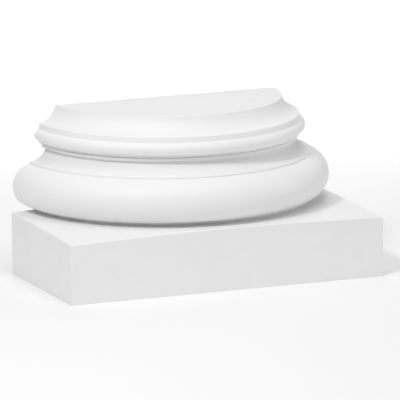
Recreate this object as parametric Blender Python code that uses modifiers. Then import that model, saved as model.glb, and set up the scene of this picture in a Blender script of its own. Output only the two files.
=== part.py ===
# Half column base: half-round mouldings on a half plinth, moulded in one piece and cut flat at the back.
#
# The column's axis stands on the back plane. The origin is under the middle of the piece, with +Z up,
# +X along the wall and the rounded front facing -Y. All sizes are in metres.

import math

import bmesh
import bpy
from mathutils import Matrix, Vector

# Seat: the flat top that the half shaft stands on. Each member below is measured out and down from the
# foot of the one above it.
SEAT_RADIUS = 0.1067

# Cavetto: the hollow that flares out under the seat
CAVETTO_REACH = 0.0147
CAVETTO_HEIGHT = 0.0154
CAVETTO_HOLLOW = 0.0034

# Fascia: the upright band under the cavetto, with an eased upper arris
ARRIS_REACH = 0.0009
ARRIS_HEIGHT = 0.0006
FASCIA_HEIGHT = 0.0050
FASCIA_BATTER = 0.0007

# Bead: the small round moulding under the fascia, with a narrow soffit at its foot
BEAD_HEIGHT = 0.0090
BEAD_SPREAD = 0.0032
BEAD_BULGE = 0.0024
SOFFIT_DEPTH = 0.0010
SOFFIT_DROP = 0.0004

# Splay: the slope that leads in under the bead, and the short upright at its foot
SPLAY_DEPTH = 0.0024
SPLAY_HEIGHT = 0.0019
SPLAY_FOOT_HEIGHT = 0.0015

# Quirk: the narrow groove between the splay and the upper fillet
QUIRK_DEPTH = 0.0042
QUIRK_HEIGHT = 0.0015

# Upper fillet: the thin strip at the head of the scotia
UPPER_FILLET_REACH = 0.0018
UPPER_FILLET_HEIGHT = 0.0022

# Scotia: the deep hollow, set back under the upper fillet
SCOTIA_SETBACK = 0.0040
SCOTIA_REACH = 0.0155
SCOTIA_HEIGHT = 0.0128
SCOTIA_HOLLOW = 0.0033

# Lower fillet: the low step between the scotia and the torus
LOWER_FILLET_HEIGHT = 0.0018

# Torus: the large round moulding
TORUS_HEIGHT = 0.0396
TORUS_SETBACK = 0.0028
TORUS_BULGE = 0.0181

# Shadow gap: the groove that parts the torus from the plinth
SHADOW_GAP_HEIGHT = 0.0028

# Plinth: its height is taken at the shadow gap, and its top falls away from there on all sides
PLINTH_HEIGHT = 0.0574
PLINTH_TOP_FALL = math.radians(2.7)
PLINTH_SIDE_MARGIN = 0.0014
PLINTH_FRONT_MARGIN = 0.0003

# Fineness of the faceted surface
TURN_STEPS = 48
ARC_STEP = math.radians(9.0)
MERGE_DISTANCE = 0.00001

# How far the turned stock and the block that trims it run past each other
TRIM_OVERRUN = 0.010

FOAM_COLOUR = (0.86, 0.86, 0.85, 1.0)
FOAM_ROUGHNESS = 0.55


class Profile:
    """Outline of the mouldings, drawn from the top down as (radius, height) points."""

    def __init__(self, radius, height):
        self.points = [(radius, height)]

    def line(self, out, down):
        radius, height = self.points[-1]
        self.points.append((radius + out, height - down))

    def arc(self, out, down, bulge):
        """Adds an arc that stands out from its chord by bulge, or is hollowed by it where bulge is negative.
        Returns the largest radius that the arc's full circle reaches."""
        radius, height = self.points[-1]
        chord = math.hypot(out, down)
        sweep = 4 * math.atan2(2 * bulge, chord)
        arc_radius = chord / (2 * math.sin(sweep / 2))
        inward = (arc_radius - bulge) / chord
        centre_radius = radius + out / 2 - down * inward
        centre_height = height - down / 2 - out * inward
        start = math.atan2((height - centre_height) / arc_radius, (radius - centre_radius) / arc_radius)
        steps = math.ceil(abs(sweep) / ARC_STEP)
        for step in range(1, steps + 1):
            angle = start - sweep * step / steps
            self.points.append(
                (
                    centre_radius + arc_radius * math.cos(angle),
                    centre_height + arc_radius * math.sin(angle),
                )
            )
        return centre_radius + arc_radius


def draw_mouldings():
    """The outline from the seat down to the plinth's top, with the seat at height 0, and the torus's radius."""
    outline = Profile(SEAT_RADIUS, 0)
    outline.arc(CAVETTO_REACH, CAVETTO_HEIGHT, -CAVETTO_HOLLOW)
    outline.line(ARRIS_REACH, ARRIS_HEIGHT)
    outline.line(FASCIA_BATTER, FASCIA_HEIGHT)
    outline.arc(BEAD_SPREAD, BEAD_HEIGHT, BEAD_BULGE)
    outline.line(-SOFFIT_DEPTH, SOFFIT_DROP)
    outline.line(-SPLAY_DEPTH, SPLAY_HEIGHT)
    outline.line(0, SPLAY_FOOT_HEIGHT)
    outline.line(-QUIRK_DEPTH, 0)
    outline.line(0, QUIRK_HEIGHT)
    outline.line(UPPER_FILLET_REACH, 0)
    outline.line(0, UPPER_FILLET_HEIGHT)
    outline.line(-SCOTIA_SETBACK, 0)
    outline.arc(SCOTIA_REACH, SCOTIA_HEIGHT, -SCOTIA_HOLLOW)
    outline.line(0, LOWER_FILLET_HEIGHT)
    torus_radius = outline.arc(-TORUS_SETBACK, TORUS_HEIGHT, TORUS_BULGE)
    outline.line(0, SHADOW_GAP_HEIGHT)
    return outline.points, torus_radius


def stock_outline(mouldings, outer_radius):
    """The mouldings raised onto the plinth, with the plinth's top run out to outer_radius and closed to the axis."""
    gap_radius, gap_height = mouldings[-1]
    raised = [(radius, height - gap_height + PLINTH_HEIGHT) for radius, height in mouldings]
    rim_height = PLINTH_HEIGHT - (outer_radius - gap_radius) * math.tan(PLINTH_TOP_FALL)
    seat_centre = (0, raised[0][1])
    return [seat_centre, *raised, (outer_radius, rim_height), (outer_radius, 0), (0, 0)]


def new_object(name, mesh, collection):
    thing = bpy.data.objects.new(name, mesh)
    collection.objects.link(thing)
    return thing


def turned_half(name, outline, collection):
    """A half-round solid: the outline turned from -X round the front to +X, with its flat back filled."""
    profile = bpy.data.meshes.new(name + "_profile")
    points = [(-radius, 0, height) for radius, height in outline]
    edges = [(point, point + 1) for point in range(len(points) - 1)]
    profile.from_pydata(points, edges, [])
    guide = new_object(name + "_guide", profile, collection)
    screw = guide.modifiers.new("Turn", "SCREW")
    screw.angle = math.pi
    screw.steps = TURN_STEPS
    screw.render_steps = TURN_STEPS
    screw.use_merge_vertices = True
    screw.merge_threshold = MERGE_DISTANCE
    mesh = bpy.data.meshes.new_from_object(guide.evaluated_get(bpy.context.evaluated_depsgraph_get()))
    bpy.data.objects.remove(guide)
    bpy.data.meshes.remove(profile)
    mesh.name = name
    shell = bmesh.new()
    shell.from_mesh(mesh)
    bmesh.ops.holes_fill(shell, edges=[edge for edge in shell.edges if edge.is_boundary], sides=0)
    bmesh.ops.recalc_face_normals(shell, faces=shell.faces)
    shell.to_mesh(mesh)
    shell.free()
    return new_object(name, mesh, collection)


def block(name, low, high, collection):
    size = high - low
    mesh = bpy.data.meshes.new(name)
    solid = bmesh.new()
    placed = Matrix.Translation((low + high) / 2) @ Matrix.Diagonal((*size, 1))
    bmesh.ops.create_cube(solid, size=1, matrix=placed)
    solid.to_mesh(mesh)
    solid.free()
    return new_object(name, mesh, collection)


def moulded_foam():
    material = bpy.data.materials.new("white_primed_foam")
    material.use_nodes = True
    shader = material.node_tree.nodes["Principled BSDF"]
    shader.inputs["Base Color"].default_value = FOAM_COLOUR
    shader.inputs["Roughness"].default_value = FOAM_ROUGHNESS
    shader.inputs["Metallic"].default_value = 0
    return material


def half_column_base(parts, cutters):
    mouldings, torus_radius = draw_mouldings()
    half_width = torus_radius + PLINTH_SIDE_MARGIN
    depth = torus_radius + PLINTH_FRONT_MARGIN
    outline = stock_outline(mouldings, math.hypot(half_width, depth) + TRIM_OVERRUN)
    seat_height = outline[0][1]
    base = turned_half("half_column_base", outline, parts)
    trimmer = block(
        "plinth_sides",
        Vector((-half_width, -depth, -TRIM_OVERRUN)),
        Vector((half_width, TRIM_OVERRUN, seat_height + TRIM_OVERRUN)),
        cutters,
    )
    trimmer.hide_render = True
    trimmer.display_type = "WIRE"
    for thing in (base, trimmer):
        thing.location.y = depth / 2
    trim = base.modifiers.new("Square plinth", "BOOLEAN")
    trim.operation = "INTERSECT"
    trim.solver = "EXACT"
    trim.object = trimmer
    base.data.materials.append(moulded_foam())
    base.data.shade_smooth()
    base.data.set_sharp_from_angle(angle=math.radians(25))
    return base


def new_collection(name):
    collection = bpy.data.collections.new(name)
    bpy.context.scene.collection.children.link(collection)
    return collection


for old in list(bpy.data.objects):
    bpy.data.objects.remove(old)
half_column_base(new_collection("Half column base"), new_collection("Cutters"))
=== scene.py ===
# Half column base in white primed foam: half-round mouldings on a half plinth, cut flat at the back.
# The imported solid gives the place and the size, and the piece built here gives the fine surface.
import math

import bmesh
import bpy
from mathutils import Matrix, Vector


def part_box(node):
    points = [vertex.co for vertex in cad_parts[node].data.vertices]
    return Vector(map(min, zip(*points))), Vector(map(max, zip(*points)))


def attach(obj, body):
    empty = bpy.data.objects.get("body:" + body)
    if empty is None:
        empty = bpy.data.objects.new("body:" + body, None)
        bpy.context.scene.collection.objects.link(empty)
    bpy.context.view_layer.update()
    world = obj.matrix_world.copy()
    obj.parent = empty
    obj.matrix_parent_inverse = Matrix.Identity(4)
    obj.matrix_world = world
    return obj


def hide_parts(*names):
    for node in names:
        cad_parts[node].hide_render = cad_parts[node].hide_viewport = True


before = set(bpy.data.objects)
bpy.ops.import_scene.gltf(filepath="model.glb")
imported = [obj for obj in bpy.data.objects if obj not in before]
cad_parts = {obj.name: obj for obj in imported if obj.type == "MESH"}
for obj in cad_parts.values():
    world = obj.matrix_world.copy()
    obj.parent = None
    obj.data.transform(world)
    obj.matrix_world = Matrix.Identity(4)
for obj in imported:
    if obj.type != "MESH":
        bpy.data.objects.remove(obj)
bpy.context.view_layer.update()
baseNode = "half_column_base"
print("Frame loaded: " + ", ".join(sorted(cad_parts)))


# A value on its way through a shader. Arithmetic on it adds the Math node that does the sum.
class Signal:
    def __init__(self, finish, socket):
        self.finish = finish
        self.socket = socket

    def __add__(self, other):
        return self.finish.maths("ADD", self, other)

    def __sub__(self, other):
        return self.finish.maths("SUBTRACT", self, other)

    def __rsub__(self, other):
        return self.finish.maths("SUBTRACT", other, self)

    def __mul__(self, other):
        return self.finish.maths("MULTIPLY", self, other)

    __radd__ = __add__
    __rmul__ = __mul__


# A material under construction, with its Principled shader and its Object coordinates
class Finish:
    def __init__(self, name):
        self.material = bpy.data.materials.new(name)
        self.material.use_nodes = True
        self.tree = self.material.node_tree
        self.shader = self.tree.nodes["Principled BSDF"]
        self.place = self.node("ShaderNodeTexCoord", output="Object")

    # Adds a node: its type, its settings, what goes into its sockets, and the output that is wanted
    def node(self, kind, settings=None, sockets=None, output=0):
        made = self.tree.nodes.new(kind)
        for setting, value in (settings or {}).items():
            setattr(made, setting, value)
        for socket, value in (sockets or {}).items():
            self.feed(made.inputs[socket], value)
        return Signal(self, made.outputs[output])

    def feed(self, socket, value):
        if isinstance(value, Signal):
            self.tree.links.new(value.socket, socket)
        else:
            socket.default_value = value

    def maths(self, operation, *values):
        return self.node("ShaderNodeMath", {"operation": operation}, dict(enumerate(values)))

    # Soft noise from 0 to 1, about 0.5, with features of the given size in metres
    def noise(self, size, detail=2.0, seed=0.0):
        shift = {"operation": "ADD"}
        moved = self.node("ShaderNodeVectorMath", shift, {0: self.place, 1: (seed, seed, seed)})
        return self.node("ShaderNodeTexNoise", {}, {"Vector": moved, "Scale": 1 / size, "Detail": detail})

    # 0 below low and 1 above high, with a smooth step between
    def step(self, value, low, high):
        sockets = {"Value": value, "From Min": low, "From Max": high}
        return self.node("ShaderNodeMapRange", {"interpolation_type": "SMOOTHSTEP"}, sockets)

    def blend(self, share, first, second):
        settings = {"data_type": "RGBA", "clamp_factor": True}
        return self.node("ShaderNodeMix", settings, {0: share, 6: first, 7: second}, output=2)

    # The same colour with its three channels scaled together
    def tint(self, colour, strength):
        scaled = {"operation": "SCALE"}
        return self.node("ShaderNodeVectorMath", scaled, {0: colour, "Scale": strength})

    def bump(self, height):
        relief = self.node("ShaderNodeBump", {}, {"Height": height, "Distance": 1.0})
        self.feed(self.shader.inputs["Normal"], relief)


primedFoam = {
    "skin": (0.800, 0.800, 0.800),            # the white primer on every moulded face
    "planed": (0.770, 0.765, 0.745),          # the cut faces, where the foam shows through a thin coat
    "skinRoughness": 0.52,
    "planedRoughness": 0.80,
    "cloudSize": 0.055,                       # broad unevenness of the sprayed coat
    "cloudShade": 0.012,
    "cloudRoughness": 0.05,
    "mottleSize": 0.007,
    "mottleShade": 0.008,
    "mottleRoughness": 0.10,
    "peelSize": 0.0016,                       # the faint orange peel that a sprayed coat dries to
    "peelHeight": 0.0000055,
    "grainSize": 0.00035,
    "grainHeight": 0.0000012,
    "pinholeSpacing": 0.019,                  # a few sealed pinholes
    "pinholeRadius": 0.00030,
    "pinholeDepth": 0.00012,
    # each pinhole's pit is darkened with painted shade
    "pinholePaintedShade": 0.10,
    "rubPointiness": (0.52, 0.60),            # the pointiness at which rubbing starts and is full
    "rubPatchSize": 0.012,
    "rubPatchEdge": (0.35, 0.65),
    "rubShade": 0.02,                         # rubbed arrises are a little brighter and smoother
    "rubRoughness": 0.06,
    "cellSize": 0.0009,                       # open cells of the planed foam
    "cellEdge": (0.15, 0.45),
    "cellDepth": 0.00010,
    # each open cell is darkened with painted shade
    "cellPaintedShade": 0.10,
    "planeMarkSize": 0.0022,                  # long fine marks that the plane leaves along the wall
    "planeMarkLength": 0.060,
    "planeMarkDepth": 0.00004,
    "planeMarkShade": 0.08,
    "planedFade": 0.0003,                     # how near to a cut face the moulded skin gives way to it
}


def primedFoamFinish(backPlane):
    foam = Finish("white_primed_foam")
    sizes = primedFoam
    along = foam.node("ShaderNodeSeparateXYZ", {}, {"Vector": foam.place}, output="Y")
    upward = foam.node("ShaderNodeSeparateXYZ", {}, {"Vector": foam.place}, output="Z")

    # 1 on the two faces that were cut flat, and 0 on the moulded skin
    fade = sizes["planedFade"]
    onBack = foam.step(along, backPlane - fade, backPlane - fade / 3)
    onUnderside = 1 - foam.step(upward, fade / 3, fade)
    planed = foam.maths("MAXIMUM", onBack, onUnderside)

    clouds = foam.noise(sizes["cloudSize"], detail=3.0) - 0.5
    mottle = foam.noise(sizes["mottleSize"], detail=2.0, seed=3.1) - 0.5
    shade = 1 + clouds * (2 * sizes["cloudShade"]) + mottle * (2 * sizes["mottleShade"])

    # Arrises, from how far the surface stands out round each point
    pointed = foam.node("ShaderNodeNewGeometry", output="Pointiness")
    rubPatches = foam.noise(sizes["rubPatchSize"], seed=7.7)
    rubbed = foam.step(pointed, *sizes["rubPointiness"]) * foam.step(rubPatches, *sizes["rubPatchEdge"])

    pores = foam.node(
        "ShaderNodeTexVoronoi",
        {"feature": "F1"},
        {"Vector": foam.place, "Scale": 1 / sizes["pinholeSpacing"], "Randomness": 1.0},
        output="Distance",
    )
    rim = sizes["pinholeRadius"]
    pinhole = 1 - foam.step(pores * sizes["pinholeSpacing"], 0.4 * rim, rim)

    cells = foam.node(
        "ShaderNodeTexVoronoi",
        {"feature": "SMOOTH_F1"},
        {"Vector": foam.place, "Scale": 1 / sizes["cellSize"], "Smoothness": 0.3, "Randomness": 1.0},
        output="Distance",
    )
    openCell = 1 - foam.step(cells, *sizes["cellEdge"])
    stretched = foam.node(
        "ShaderNodeMapping",
        {},
        {"Vector": foam.place, "Scale": (1 / sizes["planeMarkLength"], 1.0, 1 / sizes["planeMarkSize"])},
    )
    marks = foam.node("ShaderNodeTexNoise", {}, {"Vector": stretched, "Scale": 1.0, "Detail": 3.0})

    # the pinholes' pits are darkened here with painted shade
    skinShade = shade + rubbed * sizes["rubShade"] - pinhole * sizes["pinholePaintedShade"]
    # the open cells of the cut faces are darkened here with painted shade
    cutShade = shade - openCell * sizes["cellPaintedShade"] + (marks - 0.5) * sizes["planeMarkShade"]
    skin = foam.tint(sizes["skin"], skinShade)
    cut = foam.tint(sizes["planed"], cutShade)
    foam.feed(foam.shader.inputs["Base Color"], foam.blend(planed, skin, cut))

    unevenness = mottle * sizes["mottleRoughness"] + clouds * sizes["cloudRoughness"]
    gloss = sizes["skinRoughness"] + unevenness - rubbed * sizes["rubRoughness"]
    drier = planed * (sizes["planedRoughness"] - sizes["skinRoughness"])
    foam.feed(foam.shader.inputs["Roughness"], gloss + drier)

    peel = foam.noise(sizes["peelSize"], detail=1.0, seed=1.3) * sizes["peelHeight"]
    grain = foam.noise(sizes["grainSize"], detail=1.0, seed=5.9) * sizes["grainHeight"]
    moulded = peel + grain - pinhole * sizes["pinholeDepth"]
    planedRelief = marks * sizes["planeMarkDepth"] - openCell * sizes["cellDepth"] + grain
    foam.bump(moulded * (1 - planed) + planedRelief * planed)
    return foam.material


# Sizes of the base in metres. Each member is measured out and down from the foot of the one above it.
mouldedBase = {
    "seatRadius": 0.1067,
    "cavetto": {"out": 0.0147, "down": 0.0154, "bulge": -0.0034},
    "cavettoArris": {"out": 0.0009, "down": 0.0006},
    "fascia": {"out": 0.0007, "down": 0.0050},
    "bead": {"out": 0.0032, "down": 0.0090, "bulge": 0.0024},
    "soffit": {"out": -0.0010, "down": 0.0004},
    "splay": {"out": -0.0024, "down": 0.0019},
    "splayFoot": {"out": 0, "down": 0.0015},
    "quirkDepth": 0.0042,
    "quirkHeight": 0.0015,
    "upperFilletReach": 0.0018,
    "upperFilletHeight": 0.0022,
    "scotiaSetback": 0.0040,
    "scotia": {"out": 0.0155, "down": 0.0128, "bulge": -0.0033},
    "lowerFillet": {"out": 0, "down": 0.0018},
    "torus": {"out": -0.0028, "down": 0.0396, "bulge": 0.0181},
    "shadowGap": {"out": 0, "down": 0.0028},
    "plinthHeight": 0.0574,                   # at the shadow gap, where the top starts to fall
    "plinthTopFall": math.radians(2.7),
    "stockRadius": 0.2200,                    # the stock reaches past the corners before it is squared
    "mouldingEase": 0.00018,                  # how far the arrises of the mouldings are eased
    "plinthEase": 0.00055,
    "easeSteps": 3,
    "turnSteps": 192,
    "arcStep": math.radians(4.0),
    "sharpAngle": math.radians(40.0),
    "flatAngle": math.radians(0.05),
    "mergeDistance": 1e-6,
    "nearness": 1e-5,                         # how near to a plane counts as on it
}


# Draws the base's outline on the back plane, at the left end of the half turn, from the top down
class OutlinePen:
    def __init__(self, height):
        self.mesh = bmesh.new()
        self.tip = self.mesh.verts.new((0, 0, height))
        self.arrises = []

    def line(self, out, down, eased=True):
        if eased:
            self.arrises.append(self.tip)
        grown = bmesh.ops.extrude_vert_indiv(self.mesh, verts=[self.tip])
        self.tip = grown["verts"][0]
        bmesh.ops.translate(self.mesh, verts=[self.tip], vec=(-out, 0, -down))

    # An arc that stands out from its chord by bulge, or is hollowed by it where bulge is negative
    def arc(self, out, down, bulge):
        self.arrises.append(self.tip)
        chord = math.hypot(out, down)
        sweep = 4 * math.atan2(2 * bulge, chord)
        arcRadius = chord / (2 * math.sin(sweep / 2))
        inward = (arcRadius - bulge) / chord
        centre = self.tip.co - Vector((out / 2 - down * inward, 0, down / 2 + out * inward))
        steps = math.ceil(abs(sweep) / mouldedBase["arcStep"])
        turned = bmesh.ops.spin(
            self.mesh, geom=[self.tip], cent=centre, axis=(0, 1, 0), angle=-sweep, steps=steps
        )
        self.tip = turned["geom_last"][0]


def drawOutline(seatHeight):
    sizes = mouldedBase
    pen = OutlinePen(seatHeight)
    pen.line(sizes["seatRadius"], 0, eased=False)
    pen.arc(**sizes["cavetto"])
    pen.line(**sizes["cavettoArris"])
    pen.line(**sizes["fascia"])
    pen.arc(**sizes["bead"])
    pen.line(**sizes["soffit"])
    pen.line(**sizes["splay"])
    pen.line(**sizes["splayFoot"])
    pen.line(-sizes["quirkDepth"], 0)
    pen.line(0, sizes["quirkHeight"])
    pen.line(sizes["upperFilletReach"], 0)
    pen.line(0, sizes["upperFilletHeight"])
    pen.line(-sizes["scotiaSetback"], 0)
    pen.arc(**sizes["scotia"])
    pen.line(**sizes["lowerFillet"])
    pen.arc(**sizes["torus"])
    pen.line(**sizes["shadowGap"])
    run = sizes["stockRadius"] + pen.tip.co.x
    fall = run * math.tan(sizes["plinthTopFall"])
    pen.line(run, fall)
    pen.line(0, pen.tip.co.z, eased=False)
    pen.line(pen.tip.co.x, 0, eased=False)
    return pen


def openEdges(mesh):
    return [edge for edge in mesh.edges if edge.is_boundary]


# Cuts away what lies past a plane and closes the cut
def squareOff(mesh, point, outward):
    everything = mesh.verts[:] + mesh.edges[:] + mesh.faces[:]
    bmesh.ops.bisect_plane(
        mesh, geom=everything, dist=1e-7, plane_co=point, plane_no=outward, clear_outer=True
    )
    bmesh.ops.holes_fill(mesh, edges=openEdges(mesh), sides=0)


def onPlinthSide(vertex, halfWidth, front):
    near = mouldedBase["nearness"]
    return abs(vertex.co.x) > halfWidth - near or vertex.co.y < front + near


def buildMouldedBase(low, high):
    sizes = mouldedBase
    pen = drawOutline(high.z)
    mesh = pen.mesh
    bmesh.ops.bevel(
        mesh, geom=pen.arrises, offset=sizes["mouldingEase"], segments=sizes["easeSteps"], profile=0.5,
        affect="VERTICES", clamp_overlap=True, material=-1
    )
    bmesh.ops.spin(
        mesh, geom=mesh.verts[:] + mesh.edges[:], cent=(0, 0, 0), axis=(0, 0, 1), angle=math.pi,
        steps=sizes["turnSteps"], use_merge=False
    )
    bmesh.ops.remove_doubles(mesh, verts=mesh.verts[:], dist=sizes["mergeDistance"])
    bmesh.ops.holes_fill(mesh, edges=openEdges(mesh), sides=0)

    halfWidth = high.x
    front = low.y - high.y
    squareOff(mesh, (halfWidth, 0, 0), (1, 0, 0))
    squareOff(mesh, (-halfWidth, 0, 0), (-1, 0, 0))
    squareOff(mesh, (0, front, 0), (0, -1, 0))
    bmesh.ops.recalc_face_normals(mesh, faces=mesh.faces[:])
    bmesh.ops.dissolve_limit(
        mesh, angle_limit=sizes["flatAngle"], verts=mesh.verts[:], edges=mesh.edges[:]
    )

    # The plinth's edges are eased, all but those of the back, which the saw leaves sharp
    plinthEdges = [
        edge for edge in mesh.edges
        if all(onPlinthSide(vertex, halfWidth, front) for vertex in edge.verts)
        and any(vertex.co.y < -sizes["nearness"] for vertex in edge.verts)
        and edge.calc_face_angle() > sizes["sharpAngle"]
    ]
    bmesh.ops.bevel(
        mesh, geom=plinthEdges, offset=sizes["plinthEase"], segments=sizes["easeSteps"], profile=0.5,
        affect="EDGES", clamp_overlap=True, material=-1
    )
    bmesh.ops.translate(mesh, verts=mesh.verts[:], vec=(0, high.y, 0))
    for face in mesh.faces:
        face.smooth = True

    data = bpy.data.meshes.new("moulded_base")
    mesh.to_mesh(data)
    mesh.free()
    data.set_sharp_from_angle(angle=sizes["sharpAngle"])
    base = bpy.data.objects.new("moulded_base", data)
    bpy.context.scene.collection.objects.link(base)
    flatFaces = base.modifiers.new("Flat faces stay flat", "WEIGHTED_NORMAL")
    flatFaces.keep_sharp = True
    data.materials.append(primedFoamFinish(high.y))
    return base


base = buildMouldedBase(*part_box(baseNode))
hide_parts(baseNode)
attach(base, "root")
print("Moulded base built: " + str(len(base.data.polygons)) + " faces")


studio = {
    "floorSize": 9.0,
    "floorColour": (0.88, 0.88, 0.88, 1.0),
    "floorRoughness": 0.9,
    "floorMottle": 0.05,                      # unevenness of its roughness, and the patches' size
    "floorMottleSize": 0.05,
    "roomColour": (1.0, 1.0, 1.0, 1.0),
    "roomStrength": 0.05,
    "toneGamma": 1.6,
    # Each softbox: its compass angle from the front, height angle, distance, width and power, and where
    # they aren't the usual ones, how wide it spreads and what it aims at
    "softboxes": {
        "key": {"azimuth": -52.0, "elevation": 46.0, "distance": 1.6, "width": 0.25, "power": 12.0},
        "frontFill": {"azimuth": 0.0, "elevation": 62.0, "distance": 1.6, "width": 0.8, "power": 7.0},
        "leftFill": {"azimuth": -90.0, "elevation": 60.0, "distance": 1.6, "width": 0.8, "power": 2.8},
        "rightFill": {"azimuth": 75.0, "elevation": 12.0, "distance": 1.6, "width": 0.8, "power": 4.8},
        "overhead": {"azimuth": 0.0, "elevation": 90.0, "distance": 1.6, "width": 0.8, "power": 3.4},
        "rim": {"azimuth": 150.0, "elevation": 45.0, "distance": 1.6, "width": 0.8, "power": 3.3},
        "backdrop": {
            "azimuth": 0.0, "elevation": 90.0, "distance": 1.5, "width": 1.2, "power": 10.0,
            "spread": 80.0, "aim": (0.48, 1.35, 0.0),
        },
    },
}


def layFloor():
    mesh = bmesh.new()
    bmesh.ops.create_grid(mesh, x_segments=4, y_segments=4, size=studio["floorSize"] / 2)
    data = bpy.data.meshes.new("floor")
    mesh.to_mesh(data)
    mesh.free()
    floor = bpy.data.objects.new("floor", data)
    bpy.context.scene.collection.objects.link(floor)
    paper = Finish("floor_paper")
    paper.feed(paper.shader.inputs["Base Color"], studio["floorColour"])
    mottle = (paper.noise(studio["floorMottleSize"]) - 0.5) * studio["floorMottle"]
    paper.feed(paper.shader.inputs["Roughness"], studio["floorRoughness"] + mottle)
    data.materials.append(paper.material)


# Where a lamp or camera stands that looks at the origin from the given side, height angle and distance
def standOff(azimuth, elevation, distance):
    compass = Matrix.Rotation(math.radians(azimuth), 4, "Z")
    tilt = Matrix.Rotation(math.radians(90 - elevation), 4, "X")
    return compass @ tilt @ Matrix.Translation((0, 0, distance))


def hangSoftboxes(target):
    for name, box in studio["softboxes"].items():
        lamp = bpy.data.lights.new(name, "AREA")
        lamp.shape = "DISK"
        lamp.size = box["width"]
        lamp.energy = box["power"]
        lamp.spread = math.radians(box.get("spread", 180.0))
        softbox = bpy.data.objects.new(name, lamp)
        aim = Matrix.Translation(box.get("aim", target))
        softbox.matrix_world = aim @ standOff(box["azimuth"], box["elevation"], box["distance"])
        softbox.visible_camera = False
        bpy.context.scene.collection.objects.link(softbox)


def lightRoom():
    world = bpy.data.worlds.new("room")
    world.use_nodes = True
    sky = world.node_tree.nodes["Background"]
    sky.inputs["Color"].default_value = studio["roomColour"]
    sky.inputs["Strength"].default_value = studio["roomStrength"]
    bpy.context.scene.world = world
    tone = bpy.context.scene.view_settings
    tone.view_transform = "Standard"
    tone.gamma = studio["toneGamma"]


viewpoint = {
    "azimuth": -22.183,                       # the camera stands a little to the left of the front
    "elevation": 11.231,
    "roll": -0.542,
    "distance": 5.0896,
    "lens": 507.82,
    "sensorWidth": 36.0,
    "clipEnd": 50.0,
    "target": (0.00906, 0.01445, 0.06539),
}


def setCamera():
    data = bpy.data.cameras.new("camera")
    data.sensor_width = viewpoint["sensorWidth"]
    data.lens = viewpoint["lens"]
    data.clip_end = viewpoint["clipEnd"]
    data.dof.use_dof = False
    camera = bpy.data.objects.new("camera", data)
    stand = standOff(viewpoint["azimuth"], viewpoint["elevation"], viewpoint["distance"])
    roll = Matrix.Rotation(math.radians(viewpoint["roll"]), 4, "Z")
    camera.matrix_world = Matrix.Translation(viewpoint["target"]) @ stand @ roll
    bpy.context.scene.collection.objects.link(camera)
    bpy.context.scene.camera = camera


layFloor()
lightRoom()
hangSoftboxes(viewpoint["target"])
setCamera()
print("Studio set: " + str(len(studio["softboxes"])) + " softboxes")
